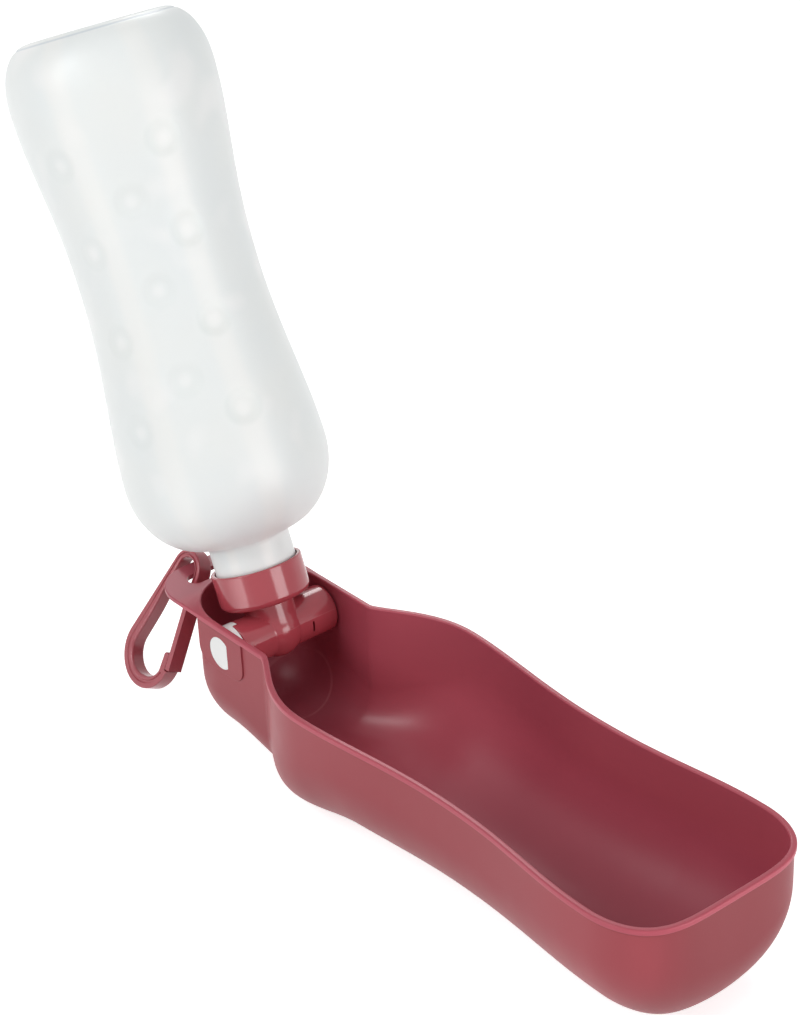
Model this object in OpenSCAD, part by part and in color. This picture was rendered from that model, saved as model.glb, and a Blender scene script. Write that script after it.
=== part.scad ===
// Dog travel water bottle: a squeeze bottle that folds up out of its drinking trough.
// Z = 0 is the flat underside of the trough and X = Y = 0 lies below the pivot axis.
// The trough runs towards +X, the pivot lies along Y, and "s" is a distance from the
// pivot along the bottle's own axis.

/* [Bottle] */
// Largest radius, at the shoulder above the neck
shoulder_r = 36.5; // [33:0.1:38]
// Radius of the waist
waist_r = 31.2; // [27:0.1:33]
// Largest radius near the base
heel_r = 36; // [33:0.1:38]
// Distance from the pivot to the widest part of the shoulder
shoulder_s = 62.5; // [58:0.5:66]
// Distance from the pivot to the waist
waist_s = 131; // [115:1:145]
// Distance from the pivot to the widest part near the base
heel_s = 197.5; // [185:0.5:205]
// Distance from the pivot to the base
base_s = 218.2; // [212:0.1:220]
// Radius of the flat ring that the base stands on
base_r = 23; // [20:0.5:28]
// How far the middle of the base is pushed in
base_recess = 2.5; // [1:0.1:4]
// Bottle wall
bottle_wall = 1.3; // [1:0.1:1.8]
// Distance from the pivot to the top of the plain neck, where the shoulder starts
neck_top_s = 35.5; // [34:0.5:42]

/* [Grip dimples] */
// Radius of each dimple in the bottle's side
dimple_r = 5; // [3:0.1:6]
// Depth of each dimple
dimple_depth = 0.7; // [0.3:0.05:0.9]
// Distance between dimples along the bottle
dimple_pitch = 31; // [26:0.5:32]
// Distance from the pivot to the first dimple of a column
dimple_s = 84.5; // [78:0.5:90]
// How much further along a middle column starts
dimple_shift = 13.2; // [8:0.1:16]
// Angle between neighbouring columns of dimples
dimple_step = 32; // [24:1:40]

/* [Cap and pivot barrel] */
// Outer radius of the cap
cap_r = 16.5; // [16:0.1:18]
// Cap wall
cap_wall = 1.4; // [1.2:0.1:2]
// Distance from the pivot to the cap's outer end face
cap_foot_s = 11.4; // [10.5:0.1:13]
// Height of the cap
cap_h = 13.5; // [12:0.5:15]
// Thickness of the cap's end disc
cap_disc = 2; // [1.5:0.1:3]
// Outer radius of the barrel that turns in the trough
barrel_r = 8.6; // [8.2:0.1:9]
// Radius of the bore through the barrel
barrel_bore_r = 6.2; // [5.6:0.1:6.4]
// Distance from the middle of the trough to the barrel's notched end
barrel_near = 18; // [17:0.1:19]
// Radius of the round-ended stem between barrel and cap
stem_r = 9; // [8.8:0.1:9.6]
// Radius of the water passage down the stem
port_r = 3.6; // [2.5:0.1:4.2]
// Distance from the middle of the trough to the outlet slit
slit_y = 10.9; // [8:0.1:13]
// Width of the outlet slit
slit_w = 0.8; // [0.6:0.1:1.4]

/* [Neck thread] */
// Lift in one turn of the bottle
thread_pitch = 2; // [1.9:0.1:2.4]
// How far each thread ridge stands out
thread_depth = 1.1; // [0.9:0.05:1.2]
// Width of a ridge at its root
thread_root = 1; // [0.8:0.05:1.1]
// Width of a ridge at its crest
thread_crest = 0.4; // [0.3:0.05:0.5]
// Radial gap between a ridge's crest and the wall facing it
thread_gap = 0.6; // [0.5:0.05:0.7]

/* [Trough] */
// Depth of the pivot below the rim
pivot_drop = 10.8; // [10:0.1:14]
// Gap between the folded bottle and the trough
nest_gap = 0.5; // [0.5:0.1:1.5]
// Wall of the trough
trough_wall = 1.4; // [1.2:0.1:2]
// Thickness of the floor
floor_t = 1.6; // [1.4:0.1:2.2]
// How far the lip stands out round the rim
lip = 0.7; // [0.5:0.1:1.2]
// Height of the lip
lip_h = 2.5; // [2:0.1:3.5]
// Half the inside width of the head that holds the barrel
head_half_w = 22.2; // [21.5:0.1:24]
// Distance from the pivot to the inside of the head's round end
head_reach = 27.4; // [26:0.1:29]
// Distance from the pivot to where the head starts to widen
head_end_x = 25; // [22:0.5:27]
// Distance from the pivot to the inside of the far end
bowl_reach = 223; // [223:0.1:230]
// How far the bottle's base would stand up from level when it is folded down
fold_rise = 1.4; // [1.4:0.1:3]

/* [Clip tab] */
// Thickness of the tab at the rim
tab_t = 1.8; // [1.5:0.1:2]
// Distance from the pivot to the tip of the tab
tab_reach = 43.2; // [43:0.1:45]
// Corner radius of the tab
tab_corner_r = 16; // [12:0.5:18]
// Width of the slot for the clip
slot_w = 6.9; // [6.4:0.1:7.2]
// Length of the slot from end to end
slot_len = 27.2; // [26.8:0.1:28]
// Width of the bridge between the slot and the tip
bridge_w = 7.2; // [6.4:0.1:7.2]

/* [Valve core] */
// Radial running gap between the core and the barrel's bore
core_gap = 0.06; // [0.03:0.01:0.1]
// Distance from the pivot axis to the flat that keys the core in the walls
key_flat = 4; // [3.5:0.1:5]
// Gap between a keyed end and its hole
key_gap = 0.1; // [0.05:0.01:0.15]
// Radius of the flange inside the near wall
flange_r = 8.6; // [8:0.1:8.6]
// Gap between the flange and the barrel
flange_gap = 0.3; // [0.2:0.05:0.5]
// Gap between the flange and the wall of the head
flange_wall_gap = 0.7; // [0.6:0.05:0.9]
// Depth of the water channel round the core
channel_depth = 2; // [1:0.1:2.6]
// Width of the water channel along the core
channel_w = 5; // [3:0.1:6]
// Section diameter of the seal rings
ring_d = 1.6; // [1.2:0.1:2]

/* [Carry clip] */
// Place of the clip along the slot
clip_y = -7.3; // [-7.6:0.1:7.6]
// Distance between the centres of the clip's two round ends
clip_l = 35.5; // [33:0.5:38]
// Inside radius of the small end
clip_top_r = 4.7; // [4.7:0.1:5]
// Inside radius of the large end
clip_base_r = 9.5; // [9:0.1:11]
// Width of the clip's bar at the small end
clip_bar_top = 2.9; // [2.7:0.1:3.2]
// Width of the clip's bar at the large end
clip_bar_base = 3.9; // [3.5:0.1:4.2]
// Depth of the clip, through the loop
clip_depth = 6; // [5.5:0.1:6]
// Thickness of the spring arm
arm_t = 2.2; // [1.8:0.1:2.4]
// Gap between the closed arm and the nose it laps
arm_gap = 0.4; // [0.3:0.05:0.6]
// How far the clip leans sideways out of upright
clip_lean = 27; // [24:1:28]

/* [Hidden] */

// Angle that the bottle leans back from upright when it is open
tilt = 21.4;
around = 72;

maroon = [0.62, 0.29, 0.33];
milky = [0.93, 0.95, 0.94];
white = [0.9, 0.92, 0.91];
black_rubber = [0.12, 0.12, 0.12];

// Derived heights and half widths
widest_r = max(shoulder_r, heel_r);
rim_z = floor_t + nest_gap + widest_r + pivot_drop;
pivot_z = rim_z - pivot_drop;
head_outer = head_half_w + trough_wall;
barrel_far = head_half_w - nest_gap;

// Cap and neck, stacked along s
cap_bore_r = cap_r - cap_wall;
cap_floor_s = cap_foot_s + cap_disc;
cap_rim_s = cap_foot_s + cap_h;
neck_crest_r = cap_bore_r - thread_gap;
neck_root_r = neck_crest_r - thread_depth;
neck_r = neck_crest_r + 0.1;
neck_bore_r = neck_root_r - bottle_wall - 0.4;
washer_t = 1.5;
washer_seat_gap = 0.02;
lip_s = cap_floor_s + washer_t + 2 * washer_seat_gap;
thread_s = lip_s + thread_root / 2 + 1;
thread_side_gap = 0.15;
thread_steps = 36;

// Core, its seals and its turning stop
core_r = barrel_bore_r - core_gap;
ring_seat_r = core_r - ring_d + 0.02;
ring_near_y = -barrel_near + 6;
ring_far_y = barrel_far - 4;
flange_in_y = barrel_near + flange_gap;
lug_reach = 1.9;
lug_from = 92;
lug_to = 128;
notch_from = lug_from - 1.5;
notch_to = lug_to + (90 + tilt) - fold_rise + 1.5;

function ease(t) = (1 - cos(180 * min(max(t, 0), 1))) / 2;
function blend(a, b, t) = a + (b - a) * ease(t);
// Skews a blend: with k below 1 it starts quickly and ends slowly
function early(t, k) = pow(clamp(t, 0, 1), k);
function clamp(v, low, high) = min(max(v, low), high);

// ---- Bottle profile ----
shoulder_rise = shoulder_s - neck_top_s;
heel_drop = base_s - heel_s;

function bottle_side_r(s) =
    s < waist_s
        ? blend(shoulder_r, waist_r, early((s - shoulder_s) / (waist_s - shoulder_s), 0.88))
        : blend(waist_r, heel_r, early((s - waist_s) / (heel_s - waist_s), 1.2));

// Outline of the bottle above its neck, moved in by d, as [radius, s]
function bottle_outline(d) = concat(
    [for (i = [0 : 10])
        let (a = 90 * i / 10)
        [neck_r - d + (shoulder_r - neck_r) * sin(a), shoulder_s - (shoulder_rise - d) * cos(a)]],
    [for (i = [1 : 24])
        let (s = shoulder_s + (heel_s - shoulder_s) * i / 24)
        [bottle_side_r(s) - d, s]],
    [for (i = [1 : 9])
        let (a = 90 * i / 9)
        [base_r + (heel_r - base_r - d) * cos(a), heel_s + (heel_drop - d) * sin(a)]]
);

module open_pose() {
    translate([0, 0, pivot_z]) rotate([0, -tilt, 0]) children();
}

// A single turn of thread: a tapered ridge that climbs one pitch round the axis.
// It stands outwards from root_r when way is 1 and inwards when way is -1.
module thread_turn(root_r, start_s, way) {
    sunk = 0.3;
    lead_in = 4;
    points = [for (i = [0 : thread_steps])
        let (a = 360 * i / thread_steps,
             grow = min(1, (i + 0.3) / lead_in, (thread_steps - i + 0.3) / lead_in),
             crest_r = root_r + way * thread_depth * grow,
             s = start_s + thread_pitch * i / thread_steps)
        for (corner = [[root_r - way * sunk, -thread_root / 2], [crest_r, -thread_crest / 2],
                       [crest_r, thread_crest / 2], [root_r - way * sunk, thread_root / 2]])
            [corner[0] * cos(a), corner[0] * sin(a), s + corner[1]]];
    sides = [for (i = [0 : thread_steps - 1], c = [0 : 3])
        let (p = 4 * i + c, q = 4 * i + (c + 1) % 4)
        each [[p, p + 4, q], [q, p + 4, q + 4]]];
    last = 4 * thread_steps;
    ends = [[0, 1, 2], [0, 2, 3], [last, last + 2, last + 1], [last, last + 3, last + 2]];
    turned = [for (f = concat(sides, ends)) way > 0 ? [f[2], f[1], f[0]] : f];
    polyhedron(points = points, faces = turned);
}

// Two grips face each other, each three staggered columns of dimples
module dimples() {
    ball_r = (dimple_r * dimple_r + dimple_depth * dimple_depth) / (2 * dimple_depth);
    for (side = [0, 180], column = [-1 : 1]) {
        count = column == 0 ? 3 : 4;
        for (i = [0 : count - 1]) {
            s = dimple_s + (column == 0 ? dimple_shift : 0) + i * dimple_pitch;
            rotate([0, 0, -133 + side + column * dimple_step])
                translate([0, bottle_side_r(s) + ball_r - dimple_depth, s])
                    sphere(r = ball_r, $fn = around);
        }
    }
}

module bottle() {
    color(milky) open_pose() {
        difference() {
            rotate_extrude($fn = around)
                polygon(concat(
                    [[neck_bore_r, lip_s], [neck_root_r, lip_s],
                     [neck_root_r, cap_rim_s - 2], [neck_r, cap_rim_s - 1]],
                    bottle_outline(0),
                    [[base_r - 3, base_s], [base_r - 6, base_s - base_recess],
                     [0, base_s - base_recess], [0, base_s - base_recess - bottle_wall],
                     [base_r - 6 - bottle_wall, base_s - base_recess - bottle_wall],
                     [base_r - 3 - bottle_wall, base_s - bottle_wall]],
                    [for (i = [len(bottle_outline(bottle_wall)) - 1 : -1 : 0])
                        bottle_outline(bottle_wall)[i]],
                    [[neck_r - bottle_wall, neck_top_s - 3], [neck_bore_r, neck_top_s - 6]]
                ));
            dimples();
        }
        thread_turn(neck_root_r, thread_s, 1);
    }
}

module neck_washer() {
    color(white) open_pose()
        translate([0, 0, cap_floor_s + washer_seat_gap])
            difference() {
                cylinder(r = neck_root_r, h = washer_t, $fn = around);
                translate([0, 0, -1]) cylinder(r = neck_bore_r, h = washer_t + 2, $fn = around);
            }
}

// ---- Connector: cap, stem and barrel in one piece ----
module along_y(from, to) {
    translate([0, from, 0]) rotate([-90, 0, 0]) linear_extrude(to - from) children();
}

// A pie slice between two angles, measured from +X towards +Z once it is laid along Y
module slice(from, to, reach) {
    points = [for (i = [0 : 8]) let (a = from + (to - from) * i / 8) reach * [cos(a), -sin(a)]];
    polygon(concat([[0, 0]], points));
}

module connector() {
    edge = 0.6;
    color(maroon) open_pose() {
        difference() {
            union() {
                rotate([-90, 0, 0]) rotate_extrude($fn = around)
                    polygon([[0, -barrel_near], [barrel_r - edge, -barrel_near],
                             [barrel_r, edge - barrel_near], [barrel_r, barrel_far - edge],
                             [barrel_r - edge, barrel_far], [0, barrel_far]]);
                sphere(r = stem_r, $fn = around);
                cylinder(r = stem_r, h = cap_foot_s + 0.5, $fn = around);
                rotate_extrude($fn = around)
                    polygon([[0, cap_foot_s], [cap_r - 1.2, cap_foot_s], [cap_r - 0.4, cap_foot_s + 0.4],
                             [cap_r, cap_foot_s + 1.2], [cap_r, cap_rim_s - 0.4],
                             [cap_r - 0.4, cap_rim_s], [0, cap_rim_s]]);
            }
            along_y(-barrel_near - 1, barrel_far + 1) circle(r = barrel_bore_r, $fn = around);
            cylinder(r = port_r, h = cap_rim_s, $fn = around);
            translate([0, 0, cap_floor_s]) cylinder(r = cap_bore_r, h = cap_h, $fn = around);
            // Outlet slit in the barrel's front
            along_y(slit_y - slit_w / 2, slit_y + slit_w / 2)
                slice(-tilt - 16, -tilt + 14, barrel_r + 1);
            // Notch that the core's lug turns in
            along_y(-barrel_near - 1, -barrel_near + lug_reach + flange_gap)
                slice(notch_from - tilt, notch_to - tilt, barrel_r + 1);
        }
        thread_turn(cap_bore_r, thread_s + (thread_root + thread_crest) / 2 + thread_side_gap, -1);
    }
}

// ---- Valve core: keyed in both walls, so the barrel turns round it ----
module core_place() {
    translate([0, 0, pivot_z]) children();
}

module keyed_round(r, flat) {
    intersection() {
        circle(r = r, $fn = around);
        translate([-2 * r, -2 * r]) square([2 * r + flat, 4 * r]);
    }
}

module ring_channel(y, width, from, to) {
    translate([0, y - width / 2, 0]) rotate([-90, 0, 0])
        linear_extrude(width) difference() {
            slice(from, to, 2 * core_r);
            circle(r = core_r - channel_depth, $fn = around);
        }
}

module valve_core() {
    end_y = head_outer + 0.5;
    color(white) core_place()
        difference() {
            union() {
                along_y(-head_half_w, head_half_w) circle(r = core_r, $fn = around);
                along_y(-end_y, end_y) keyed_round(core_r, key_flat);
                along_y(-head_half_w + flange_wall_gap, -flange_in_y) circle(r = flange_r, $fn = around);
                along_y(-flange_in_y - 0.5, -barrel_near + lug_reach) difference() {
                    intersection() {
                        circle(r = flange_r, $fn = around);
                        slice(lug_from, lug_to, barrel_r + 1);
                    }
                    circle(r = core_r - 0.5, $fn = around);
                }
            }
            ring_channel(0, 2 * port_r, 70, 150);
            ring_channel((slit_y + channel_w / 2) / 2 - 1, slit_y + channel_w / 2 + 2, 70, 110);
            ring_channel(slit_y, channel_w, -25, 110);
            for (y = [ring_near_y, ring_far_y])
                along_y(y - ring_d / 2 - 0.1, y + ring_d / 2 + 0.1) difference() {
                    circle(r = 2 * core_r, $fn = around);
                    circle(r = ring_seat_r, $fn = around);
                }
        }
}

module seal_ring(y) {
    color(black_rubber) core_place()
        translate([0, y, 0]) rotate([-90, 0, 0]) rotate_extrude($fn = around)
            translate([ring_seat_r + ring_d / 2, 0]) circle(d = ring_d, $fn = 32);
}

module seal_ring_near() { seal_ring(ring_near_y); }
module seal_ring_far() { seal_ring(ring_far_y); }

// ---- Trough ----
// Half width of the opening at x, between the head's round end and the far end
function open_half_w(x) =
    x < shoulder_s
        ? blend(head_half_w, shoulder_r + nest_gap,
                early((x - head_end_x) / (shoulder_s - head_end_x), 0.66))
        : bottle_side_r(x) + nest_gap;

head_round_x = -3;
far_round_x = heel_s + 2.5;
head_steps = 9;
side_steps = 36;
far_steps = 10;

// One side of the opening's outline, from the head's tip to the far tip, as [x, half width]
half_outline = concat(
    [for (i = [0 : head_steps])
        let (a = 90 * i / head_steps)
        [head_round_x - (head_reach + head_round_x) * pow(cos(a), 0.9),
         head_half_w * pow(sin(a), 0.9)]],
    [for (i = [1 : side_steps])
        let (x = head_round_x + (far_round_x - head_round_x) * i / side_steps)
        [x, open_half_w(x)]],
    [for (i = [1 : far_steps])
        let (a = 90 - 90 * i / far_steps)
        [far_round_x + (bowl_reach - far_round_x) * cos(a),
         (heel_r + nest_gap) * pow(sin(a), 0.42)]]
);
tips = len(half_outline) - 1;

// Full outline, counterclockwise from above, starting at the head's tip
opening = concat(
    [for (i = [0 : tips]) [half_outline[i][0], -half_outline[i][1]]],
    [for (i = [tips - 1 : -1 : 1]) half_outline[i]]
);
count = len(opening);

function outward(i) =
    let (before = opening[(i + count - 1) % count],
         after = opening[(i + 1) % count],
         along = after - before)
    [along[1], -along[0]] / norm(along);

function moved_out(i, d) = opening[i] + d * outward(i);

// The section is close to a half circle: its corner takes up most of the half width
roundness = 0.93;
spine_from = -5;
spine_to = heel_s;
waist_rise = 1;

// The section is squarer where the head widens into the bowl
function round_at(x) =
    let (rise = ease((x + 5) / 42), fall = ease((x - 38) / 42))
    roundness - 0.34 * rise * (1 - fall);

// Lowest point of the outer skin before its flat is cut. It rises a little at the waist.
function skin_z(x) =
    x < waist_s
        ? blend(-1.2, waist_rise, (x - shoulder_s) / (waist_s - shoulder_s))
        : blend(waist_rise, -0.4, (x - waist_s) / (heel_s - waist_s));

function floor_z(x) = floor_t + max(0, skin_z(x));

// A ring of the shell at angle a down the rounded section, 0 at the wall and 90 at the floor
function round_ring(d, a, skin) = [for (i = [0 : count - 1])
    let (p = moved_out(i, d),
         foot = [clamp(opening[i][0], spine_from, spine_to), 0],
         share = round_at(opening[i][0]),
         corner = share * norm(p - foot),
         low = skin ? skin_z(opening[i][0]) : floor_z(opening[i][0]),
         q = foot + (p - foot) * (1 - share * (1 - cos(a))))
    [q[0], q[1], low + corner * (1 - sin(a))]];

function flat_ring(d, z) = [for (i = [0 : count - 1])
    let (p = moved_out(i, d)) [p[0], p[1], z]];

round_steps = 8;
rim_edge = 0.4;

module shell() {
    rings = concat(
        [for (i = [round_steps : -1 : 0]) round_ring(trough_wall, 90 * i / round_steps, true)],
        [flat_ring(trough_wall, rim_z - lip_h - lip),
         flat_ring(trough_wall + lip, rim_z - lip_h),
         flat_ring(trough_wall + lip, rim_z - rim_edge),
         flat_ring(trough_wall + lip - rim_edge, rim_z),
         flat_ring(rim_edge, rim_z),
         flat_ring(0, rim_z - rim_edge)],
        [for (i = [0 : round_steps]) round_ring(0, 90 * i / round_steps, false)]
    );
    last = (len(rings) - 1) * count;
    sides = [for (k = [0 : len(rings) - 2], i = [0 : count - 1])
        let (a = k * count + i, b = k * count + (i + 1) % count)
        each [[a, a + count, b + count], [a, b + count, b]]];
    under = [for (i = [0 : tips - 1])
        let (j = (count - i) % count, k = count - i - 1)
        each concat([[i, i + 1, k]], i == 0 ? [] : [[i, k, j]])];
    points = [for (r = rings) each r];
    polyhedron(points = points,
               faces = concat(sides, under, [for (f = under) [for (v = [2, 1, 0]) last + f[v]]]));
}

pad_half_w = 12.8;
pad_drop = 18.5;
pad_proud = 0.5;
pad_corner_r = 6;

// U-shaped pads round the keyed holes, on the outside of both head walls
module pads() {
    for (side = [-1, 1])
        translate([0, side * (head_outer + pad_proud - 1.2), 0])
            rotate([90, 0, 0]) linear_extrude(2.4, center = true)
                intersection() {
                    translate([-pad_half_w, rim_z - pad_drop]) union() {
                        translate([0, pad_corner_r])
                            square([2 * pad_half_w, pad_drop - pad_corner_r - lip_h / 2]);
                        for (x = [pad_corner_r, 2 * pad_half_w - pad_corner_r])
                            translate([x, pad_corner_r]) circle(r = pad_corner_r, $fn = around);
                        translate([pad_corner_r, 0])
                            square([2 * (pad_half_w - pad_corner_r), pad_corner_r + 1]);
                    }
                    translate([-pad_half_w, 0]) square([2 * pad_half_w, rim_z]);
                }
}

slot_x = -tab_reach + bridge_w + slot_w / 2;

module tab() {
    tab_half_w = head_outer + lip;
    corner_y = tab_half_w - tab_corner_r;
    translate([0, 0, rim_z - tab_t]) linear_extrude(tab_t) difference() {
        union() {
            for (side = [-1, 1])
                translate([-tab_reach + tab_corner_r, side * corner_y])
                    circle(r = tab_corner_r, $fn = around);
            translate([-tab_reach, -corner_y]) square([2 * tab_corner_r, 2 * corner_y]);
            translate([-tab_reach + tab_corner_r, -tab_half_w])
                square([tab_reach - tab_corner_r + head_round_x, 2 * tab_half_w]);
        }
        union() {
            for (side = [-1, 1])
                translate([slot_x, side * (slot_len - slot_w) / 2]) circle(d = slot_w, $fn = around);
            translate([slot_x - slot_w / 2, -(slot_len - slot_w) / 2])
                square([slot_w, slot_len - slot_w]);
        }
        polygon([for (i = [0 : count - 1]) moved_out(i, rim_edge)]);
    }
}

module trough() {
    color(maroon) difference() {
        union() {
            shell();
            difference() {
                pads();
                translate([0, 0, -1]) linear_extrude(rim_z + 2) polygon(opening);
            }
            tab();
        }
        // Flat that the trough stands on
        translate([-60, -60, -20]) cube([bowl_reach + 120, 120, 20]);
        // Keyed holes for the valve core
        translate([0, 0, pivot_z])
            along_y(-2 * head_outer, 2 * head_outer) keyed_round(core_r + key_gap, key_flat + key_gap);
    }
}

// ---- Carry clip ----
// Drawn in the XZ plane with the small end's centre at the origin, depth along Y
clip_lean_x = 6.4;
clip_foot = [-clip_lean_x, -sqrt(clip_l * clip_l - clip_lean_x * clip_lean_x)];
bridge_mid = [-tab_reach + bridge_w / 2, clip_y, rim_z - tab_t / 2];

module clip_place() {
    translate(bridge_mid) rotate([-clip_lean, 0, 0]) rotate([90, 0, 0]) children();
}

// Two circles and the straight sides that touch both
module pear(top_r, foot_r) {
    e = clip_foot / norm(clip_foot);
    across = [-e[1], e[0]];
    k = (top_r - foot_r) / norm(clip_foot);
    right = k * e + sqrt(1 - k * k) * across;
    left = k * e - sqrt(1 - k * k) * across;
    circle(r = top_r, $fn = around);
    translate(clip_foot) circle(r = foot_r, $fn = around);
    polygon([top_r * right, top_r * left, clip_foot + foot_r * left, clip_foot + foot_r * right]);
}

arm_pivot = [clip_top_r + 1.3, -7];
arm_pin_r = 0.9;
arm_boss_r = 1.5;
tongue_depth = clip_depth / 2;
fork_r = 2.1;
nose_top = -30.6;
arm_foot_z = clip_foot[1] - 1.6;
arm_in_x = clip_foot[0] + clip_base_r + clip_bar_base - arm_t + 1.2;

module clip_body() {
    groove_w = 0.9;
    groove_depth = 0.6;
    mid_top = clip_top_r + clip_bar_top / 2;
    mid_base = clip_base_r + clip_bar_base / 2;
    gate_low = arm_foot_z - arm_gap;
    color(maroon) clip_place() difference() {
        union() {
            linear_extrude(clip_depth, center = true) difference() {
                pear(clip_top_r + clip_bar_top, clip_base_r + clip_bar_base);
                pear(clip_top_r, clip_base_r);
                translate([0.5, gate_low]) square([20, arm_pivot[1] + 1 - gate_low]);
            }
            // Fork that holds the spring arm
            linear_extrude(clip_depth, center = true) union() {
                translate(arm_pivot) circle(r = fork_r, $fn = around);
                translate([arm_pivot[0] - fork_r, arm_pivot[1]]) square([2 * fork_r, 2.5]);
            }
            // Nose that the arm's end laps
            linear_extrude(clip_depth, center = true) union() {
                translate([arm_in_x - arm_gap - 1.3, nose_top - 1.3]) circle(r = 1.3, $fn = 32);
                polygon([[arm_in_x - arm_gap, nose_top - 1.3], [arm_in_x - arm_gap - 2.6, nose_top - 1.3],
                         [clip_foot[0] + clip_base_r - 0.3, gate_low - 0.5],
                         [arm_in_x - arm_gap, gate_low - 0.5]]);
            }
        }
        // Slot between the fork's cheeks, and the pin's hole
        linear_extrude(tongue_depth + 0.4, center = true)
            translate([arm_pivot[0] - 5, arm_pivot[1] - 5]) square([10, 5 + arm_boss_r + 0.4]);
        linear_extrude(clip_depth + 2, center = true)
            translate(arm_pivot) circle(r = arm_pin_r + 0.06, $fn = around);
        // Groove along both faces of the bar
        for (face = [-1, 1])
            translate([0, 0, face * clip_depth / 2]) linear_extrude(2 * groove_depth, center = true)
                intersection() {
                    difference() {
                        pear(mid_top + groove_w / 2, mid_base + groove_w / 2);
                        pear(mid_top - groove_w / 2, mid_base - groove_w / 2);
                    }
                    union() {
                        translate([-30, -60]) square([30, 80]);
                        translate([-1, -60]) square([5.5, 60 + nose_top - 12]);
                    }
                }
    }
}

module clip_arm() {
    arm_top = arm_pivot[1] - fork_r - 0.4;
    color(maroon) clip_place() union() {
        linear_extrude(clip_depth, center = true)
            polygon([[arm_pivot[0] - arm_t / 2, arm_top], [arm_in_x, arm_foot_z],
                     [arm_in_x + arm_t, arm_foot_z], [arm_pivot[0] + arm_t / 2, arm_top]]);
        linear_extrude(tongue_depth, center = true) union() {
            translate(arm_pivot) circle(r = arm_boss_r, $fn = around);
            translate([arm_pivot[0] - arm_t / 2, arm_top - 1]) square([arm_t, arm_pivot[1] - arm_top + 1]);
        }
        linear_extrude(clip_depth - 0.2, center = true)
            translate(arm_pivot) circle(r = arm_pin_r, $fn = around);
    }
}

trough();
bottle();
connector();
valve_core();
seal_ring_near();
seal_ring_far();
neck_washer();
clip_body();
clip_arm();
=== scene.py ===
# %% [markdown]
# # A dog travel water bottle
# The real object is a soft, milky squeeze bottle that folds up out of its own drinking trough. A hollow
# barrel in the trough's head is both hinge and valve, and a carry clip hangs in the trough's tab. This
# lesson dresses the engineering model: the big mouldings are made again as finer meshes, and the small
# parts keep their engineering shape and get softened edges. Every finish is made of nodes.
#
# Its overall box is kept, because the dressed model may not outgrow it.

# %% Load the frame
import math

import bmesh
import bpy
from mathutils import Matrix, Vector


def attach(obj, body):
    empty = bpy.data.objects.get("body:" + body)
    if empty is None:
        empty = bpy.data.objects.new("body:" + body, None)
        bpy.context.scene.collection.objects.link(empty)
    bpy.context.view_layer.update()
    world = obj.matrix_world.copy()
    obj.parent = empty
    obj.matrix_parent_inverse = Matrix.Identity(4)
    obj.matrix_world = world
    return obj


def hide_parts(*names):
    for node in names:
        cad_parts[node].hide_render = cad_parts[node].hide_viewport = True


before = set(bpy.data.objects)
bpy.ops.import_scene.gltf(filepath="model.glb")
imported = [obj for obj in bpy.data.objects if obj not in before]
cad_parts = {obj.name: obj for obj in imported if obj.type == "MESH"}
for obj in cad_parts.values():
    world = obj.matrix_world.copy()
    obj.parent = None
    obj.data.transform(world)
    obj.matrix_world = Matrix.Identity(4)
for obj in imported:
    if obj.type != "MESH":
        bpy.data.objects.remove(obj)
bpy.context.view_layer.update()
MM = 0.001

# %% [markdown]
# ## The main sizes
# The bottle and the trough share one curve: the trough follows the folded bottle with a small gap all
# round. So the bottle's profile is written once and both are built from it. All sizes are millimetres,
# and `s` is a distance from the pivot along the bottle's axis.

# %% Sizes of the bottle and the trough
SHOULDER_R, WAIST_R, HEEL_R = 36.5, 31.2, 36.0
SHOULDER_S, WAIST_S, HEEL_S, BASE_S = 62.5, 131.0, 197.5, 218.2
NECK_R, NECK_TOP_S = 14.6, 35.5
NEST_GAP, WALL, FLOOR, LIP = 0.5, 1.4, 1.6, 0.7
RIM_Z, PIVOT_Z = 49.4, 38.6
TILT = math.radians(21.4)
HEAD_HALF_W, HEAD_REACH, HEAD_ROUND_X, HEAD_END_X = 22.2, 27.4, -3.0, 25.0
BOWL_REACH = 223.0
FAR_ROUND_X = HEEL_S + 2.5
UPPER_POWER, LOWER_POWER = 0.88, 1.2


def clamp(value, low, high):
    return min(max(value, low), high)


def ease(t):
    return (1 - math.cos(math.pi * clamp(t, 0, 1))) / 2


def blend(a, b, t):
    return a + (b - a) * ease(t)


def bottle_side(s):
    """Radius of the bottle between shoulder and heel. The waist lies nearer the shoulder than halfway."""
    if s < WAIST_S:
        t = clamp((s - SHOULDER_S) / (WAIST_S - SHOULDER_S), 0, 1)
        return blend(SHOULDER_R, WAIST_R, t ** UPPER_POWER)
    t = clamp((s - WAIST_S) / (HEEL_S - WAIST_S), 0, 1)
    return blend(WAIST_R, HEEL_R, t ** LOWER_POWER)


print("bottle radii:", [round(bottle_side(s), 1) for s in (SHOULDER_S, WAIST_S, HEEL_S)])

# %% [markdown]
# ## Making meshes
# A moulded piece is a closed skin, so every mesh starts as a stack of rings of points. `solid` turns points
# and faces into an object, and `revolve` spins an outline round an axis, which is how turned and
# blow-moulded shapes are described. A Screw modifier would do that too, but not the trough's own rings.

# %% Closed meshes
MERGE_GAP, SLIVER = 0.002, 0.001


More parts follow.
